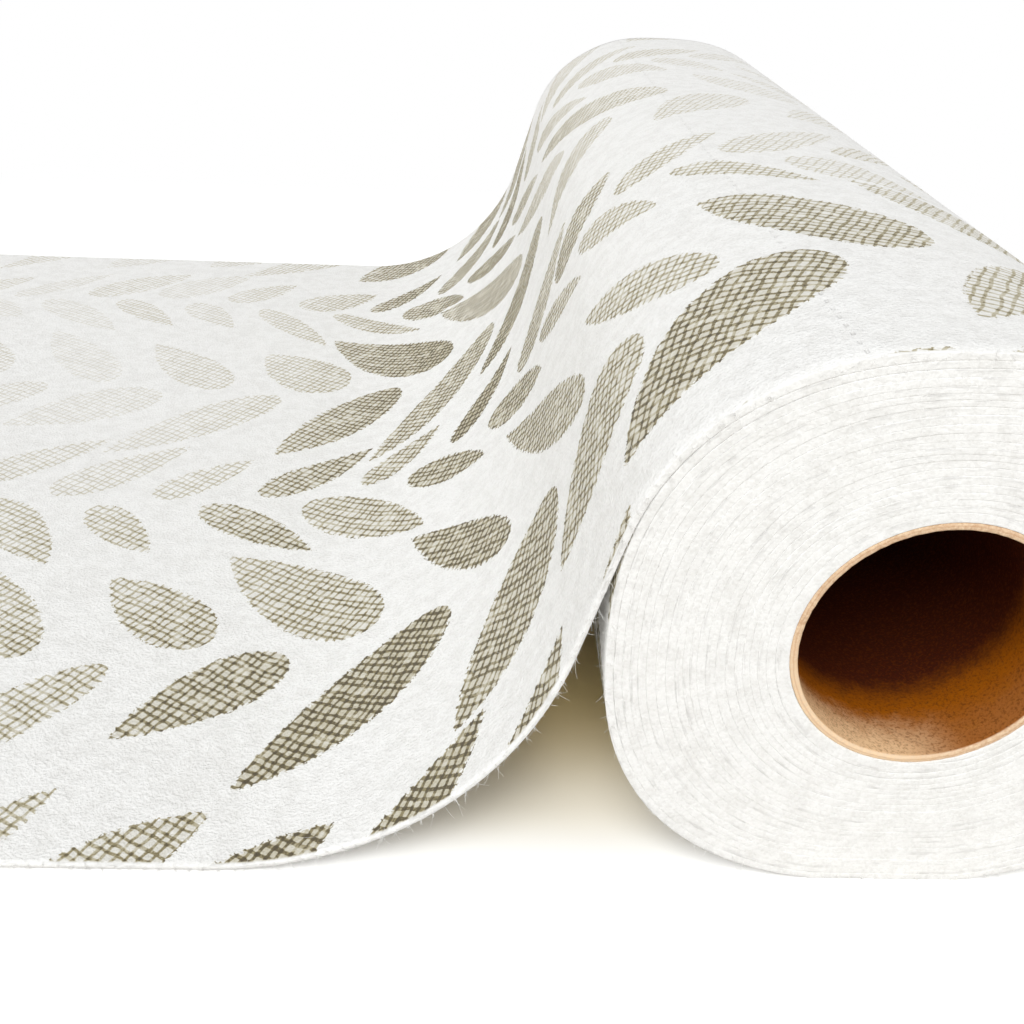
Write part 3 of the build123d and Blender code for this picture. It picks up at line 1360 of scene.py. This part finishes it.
@dataclass
class LintFibres:
    """Loose fibres that stand off the towel's cut edges and lie on its face.

    A pair of numbers for a fibre's way is the mean and the spread of a normal chance.
    """

    towel: TowelSheet
    finish: LintFinish
    seed: int = 7
    fuzz: FibreKind = FibreKind(2300, (0.5 * MM, 2.4 * MM), 0.036 * MM, 5)  # on the cut edges
    nap: FibreKind = FibreKind(4600, (0.8 * MM, 2.2 * MM), 0.026 * MM, 3)  # on the printed face
    sides: int = 3
    outer_turn: float = 292.0 * MM  # how far back from the tail the roll's outside goes
    tail_start: float = 30.0 * MM  # how far back from the tail its own edge fuzz starts
    far_every: int = 5  # one in so many is on the far edge
    edge_depth: float = 0.1 * MM  # how deep in the cut edge a fibre is rooted
    edge_faces: Span = (0.2, 0.9)  # where through the sheet
    edge_outward: tuple[float, float] = (0.2, 0.6)
    edge_onward: tuple[float, float] = (0.0, 0.8)
    edge_aside: tuple[float, float] = (0.8, 0.4)
    face_share: float = 0.98  # of the towel's width, where fibres lie on its face
    face_depth: float = 0.05 * MM
    face_rise: Span = (0.1, 0.35)
    length_share: Span = (0.6, 1.0)
    curl: tuple[float, float] = (0.0, 0.55)
    curl_share: float = 0.6
    taper: float = 0.6
    floor_gap: float = 0.06 * MM  # the least height of a fibre's middle above the floor

    def build(self) -> bpy.types.Object:
        """Makes and dresses the lint.

        Returns:
            The lint's object.
        """
        chance = random.Random(self.seed)
        shown = [s for s in self.towel.stations if self.towel.past_leave(s) > -self.outer_turn]
        tail = [s for s in shown if self.towel.past_leave(s) > -self.tail_start]
        points: list[Vector] = []
        faces: list[tuple[int, ...]] = []
        for i in range(self.fuzz.count):
            station = chance.choice(tail if i % 2 else shown)
            end = RollEnd.NEAR if i % self.far_every else RollEnd.FAR
            root, way = self.edge_root(station, end, chance)
            self.add_fibre(root, way, self.fuzz, chance, points, faces)
        for _ in range(self.nap.count):
            root, way = self.face_root(chance.choice(shown), chance)
            self.add_fibre(root, way, self.nap, chance, points, faces)
        at = np.array([tuple(point) for point in points])
        piece = make_piece("lint_fibres", at, faces, {}, self.finish.material())
        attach(piece, "root")
        return piece

    def edge_root(self, station: Station, end: RollEnd, chance: random.Random) -> tuple[Vector, Vector]:
        """Roots a fibre on a cut edge.

        Args:
            station: The place along the towel.
            end: Which edge of the towel.
            chance: The source of chance.

        Returns:
            The fibre's root, and the way that it points.
        """
        shift = self.towel.edge_shift(station, end) + self.edge_depth
        across = end.value * (self.towel.winding.half_width - shift)
        at = station.inner + (station.outer - station.inner) * chance.uniform(*self.edge_faces)
        outward = station.outward()
        way = Vector((outward.x, 0.0, outward.y)) * chance.gauss(*self.edge_outward)
        way += Vector((-outward.y, 0.0, outward.x)) * chance.gauss(*self.edge_onward)
        way += Vector((0.0, end.value * abs(chance.gauss(*self.edge_aside)), 0.0))
        return Vector((at.x, across, at.y)), way.normalized()

    def face_root(self, station: Station, chance: random.Random) -> tuple[Vector, Vector]:
        """Roots a fibre on the printed face.

        Args:
            station: The place along the towel.
            chance: The source of chance.

        Returns:
            The fibre's root, and the way that it points.
        """
        half = self.towel.winding.half_width
        across = chance.uniform(-half, half) * self.face_share
        outward = station.outward()
        at = station.outer + outward * (self.towel.lift(station, across) - self.face_depth)
        turn = chance.uniform(0.0, FULL_TURN)
        way = Vector((-outward.y, 0.0, outward.x)) * math.cos(turn) + Vector((0.0, math.sin(turn), 0.0))
        way += Vector((outward.x, 0.0, outward.y)) * chance.uniform(*self.face_rise)
        return Vector((at.x, across, at.y)), way.normalized()

    def add_fibre(
        self,
        root: Vector,
        way: Vector,
        kind: FibreKind,
        chance: random.Random,
        points: list[Vector],
        faces: list[tuple[int, ...]],
    ) -> None:
        """Adds one curled fibre, as a thin tapered tube.

        Args:
            root: Where it leaves the towel.
            way: The way that it first points.
            kind: Its length and thickness.
            chance: The source of chance.
            points: The mesh's points so far, added to.
            faces: The mesh's faces so far, added to.
        """
        length = chance.uniform(*kind.length) * chance.uniform(*self.length_share)
        curl = Vector([chance.gauss(*self.curl) for _ in range(3)])
        aside = way.orthogonal().normalized()
        other = way.cross(aside)
        first = len(points)
        lowest = self.towel.winding.floor_level + self.floor_gap
        for step in range(kind.segments + 1):
            share = step / kind.segments
            centre = root + (way * share + curl * share * share * self.curl_share) * length
            centre.z = max(centre.z, lowest)
            thick = kind.radius * (1 - self.taper * share)
            for side in range(self.sides):
                angle = FULL_TURN * side / self.sides
                points.append(centre + (aside * math.cos(angle) + other * math.sin(angle)) * thick)
        for step in range(kind.segments):
            here = first + step * self.sides
            above = here + self.sides
            for side in range(self.sides):
                following = (side + 1) % self.sides
                faces.append((here + side, here + following, above + following, above + side))
        tip = first + kind.segments * self.sides
        faces.append(tuple(reversed(range(first, first + self.sides))))
        faces.append(tuple(range(tip, tip + self.sides)))


@dataclass(frozen=True)
class Lamp:
    """A soft square lamp."""

    name: str
    place: tuple[float, float, float]
    aim: tuple[float, float, float]
    size: float
    watts: float
    colour: Colour

    def hang(self) -> None:
        """Puts the lamp in the scene."""
        data = bpy.data.lights.new(self.name, "AREA")
        data.size = self.size
        data.energy = self.watts
        data.color = self.colour
        lamp = bpy.data.objects.new(self.name, data)
        lamp.location = self.place
        lamp.rotation_mode = "QUATERNION"
        lamp.rotation_quaternion = (Vector(self.aim) - Vector(self.place)).to_track_quat("-Z", "Y")
        bpy.context.scene.collection.objects.link(lamp)


@dataclass
class Studio:
    """A white surface, soft light from above, and the photo's camera."""

    floor_level: float
    floor_half: float = 4.0
    floor_drop: float = 0.05 * MM  # below the towel
    floor_near: float = 8.0 * MM  # from the towel's box, how far out the floor shows only its own shading
    floor_far: float = 130.0 * MM  # how far out it is plain white
    floor_bounce: Colour = (0.74, 0.715, 0.67)  # as other surfaces see it
    floor_shown: Colour = (0.995, 0.995, 0.99)
    gap_centre: float = -72.0 * MM  # of the hollow between the roll and its tail
    gap_sides: Span = (62.4 * MM, 33.6 * MM)  # from its centre, where its warm painted shade starts and is whole
    gap_front: Span = (152.0 * MM, 136.0 * MM)  # the same, from the middle of the roll's length
    gap_back: Span = (140.0 * MM, 105.0 * MM)  # where that painted shade turns from pale to warm
    gap_painted_pale: Colour = (0.84, 0.79, 0.68)
    gap_painted_warm: Colour = (1.0, 0.8, 0.4)
    sky_low: float = 1.05  # strength at the horizon
    sky_high: float = 0.36  # strength overhead
    sky_rise: Span = (0.0, 0.8)
    sky_tint: Colour = (1.0, 0.99, 0.975)
    lamp: Lamp = Lamp(
        name="overhead",
        place=(-1.22, -3.72, 4.32),
        aim=(-0.08, 0.0, 0.0),
        size=3.2,
        watts=252.0,
        colour=(0.985, 0.995, 1.0),
    )
    eye: tuple[float, float, float] = (-66.6 * MM, -285.3 * MM, 95.8 * MM)
    pitch_deg: float = 26.41
    yaw_deg: float = 2.35
    roll_deg: float = -2.52
    lens: float = 40.78
    sensor: float = 36.0
    shift_y: float = -0.0605
    clip_start: float = 10.0 * MM

    def build(self) -> None:
        """Sets the floor, the light and the camera."""
        self.lay_floor()
        self.light_sky()
        self.lamp.hang()
        self.set_camera()
        bpy.context.scene.view_settings.view_transform = "Standard"

    @staticmethod
    def background_rays(graph: ShaderGraph) -> Value:
        """Tells apart the rays that see the background as it is shown.

        Args:
            graph: The graph of the floor or of the world.

        Returns:
            1 for a ray from the camera, or one by gloss or through glass, else 0.
        """
        path = graph.add("ShaderNodeLightPath", {}, {}).outputs
        camera, gloss, glass = (Value(graph, path[f"Is {kind} Ray"]) for kind in RAY_KINDS)
        return camera.most(gloss).most(glass)

    def lay_floor(self) -> None:
        """Lays a white floor, pure white where the camera sees it unshaded, with a warm painted shade in
        the hollow between the roll and its tail.
        """
        material, graph = new_graph("white_floor")
        seen = self.background_rays(graph)
        aside, along, _ = graph.split(graph.object_point())
        low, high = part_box("towel_web")
        beside, before = (
            (abs(place - (low[axis] + high[axis]) / 2) - (high[axis] - low[axis]) / 2).most(0.0)
            for axis, place in enumerate((aside, along))
        )
        away = (beside * beside + before * before) ** 0.5
        # Painted shade: the camera sees the floor tinted warm and darker in the hollow under the tail.
        painted_hollow_shade = abs(aside - self.gap_centre).eased(*self.gap_sides) * abs(along).eased(*self.gap_front)
        painted_gap_tone = graph.blend(abs(along).eased(*self.gap_back), self.gap_painted_pale, self.gap_painted_warm)
        shown = graph.blend(painted_hollow_shade, self.floor_shown, painted_gap_tone)
        colour = graph.blend(seen, self.floor_bounce, shown)
        matt = {"Base Color": colour, "Roughness": 1.0, "Diffuse Roughness": 0.9, "Specular IOR Level": 0.0}
        plain = graph.add("ShaderNodeBsdfPrincipled", {}, matt)
        white = graph.add("ShaderNodeEmission", {}, {"Color": graph.opaque(WHITE), "Strength": 1.0})
        share = seen * away.eased(self.floor_near, self.floor_far)
        mixed = graph.add("ShaderNodeMixShader", {}, {0: share, 1: plain.outputs[0], 2: white.outputs[0]})
        graph.add("ShaderNodeOutputMaterial", {}, {"Surface": mixed.outputs[0]})
        half, level = self.floor_half, self.floor_level - self.floor_drop
        corners = [(-half, -half, level), (half, -half, level), (half, half, level), (-half, half, level)]
        floor = make_piece("floor", np.array(corners), [(0, 1, 2, 3)], {}, material)

    def light_sky(self) -> None:
        """Lights the scene softly, most from the sides, with white behind it for the camera."""
        world = bpy.data.worlds.new("studio_sky")
        bpy.context.scene.world = world
        graph = ShaderGraph(world)
        seen = self.background_rays(graph)
        _, _, height = graph.split(graph.add("ShaderNodeTexCoord", {}, {}).outputs["Generated"])
        skies = ((self.sky_tint, self.sky_low), (self.sky_tint, self.sky_high), (WHITE, 1.0))
        given = [{"Color": graph.opaque(tint), "Strength": strength} for tint, strength in skies]
        low, high, white = (graph.add("ShaderNodeBackground", {}, one).outputs[0] for one in given)
        glow = graph.add("ShaderNodeMixShader", {}, {0: height.eased(*self.sky_rise), 1: low, 2: high})
        mixed = graph.add("ShaderNodeMixShader", {}, {0: seen, 1: glow.outputs[0], 2: white})
        graph.add("ShaderNodeOutputWorld", {}, {"Surface": mixed.outputs[0]})

    def set_camera(self) -> None:
        """Puts the camera where the photo was taken from."""
        pitch, yaw, roll = (math.radians(a) for a in (self.pitch_deg, self.yaw_deg, self.roll_deg))
        ahead = Vector((math.sin(yaw) * math.cos(pitch), math.cos(yaw) * math.cos(pitch), -math.sin(pitch)))
        level = Vector((math.cos(yaw), -math.sin(yaw), 0.0))
        down = ahead.cross(level)
        right = level * math.cos(roll) + down * math.sin(roll)
        below = down * math.cos(roll) - level * math.sin(roll)
        data = bpy.data.cameras.new("photo_camera")
        data.lens = self.lens
        data.sensor_width = self.sensor
        data.shift_y = self.shift_y
        data.clip_start = self.clip_start
        camera = bpy.data.objects.new("photo_camera", data)
        turn = Matrix((right, -below, -ahead)).transposed().to_4x4()
        camera.matrix_world = Matrix.Translation(self.eye) @ turn
        bpy.context.scene.collection.objects.link(camera)
        bpy.context.scene.camera = camera


def report(piece: bpy.types.Object) -> None:
    """Logs a piece's name, faces and box."""
    size = ", ".join(f"{side / MM:.1f}" for side in piece.dimensions)
    log.info("%s: %d faces, %s mm", piece.name, len(piece.data.polygons), size)


def main() -> None:
    """Builds and dresses each sub-assembly, then sets the studio."""
    winding = Winding()
    towel = TowelSheet(winding, FeltFinish())
    report(towel.build())
    report(CoreTube(CardFinish()).build())
    report(LintFibres(towel, LintFinish()).build())
    Studio(winding.floor_level).build()


if __name__ == "__main__":
    logging.basicConfig(level=logging.INFO, format="%(message)s")
    main()
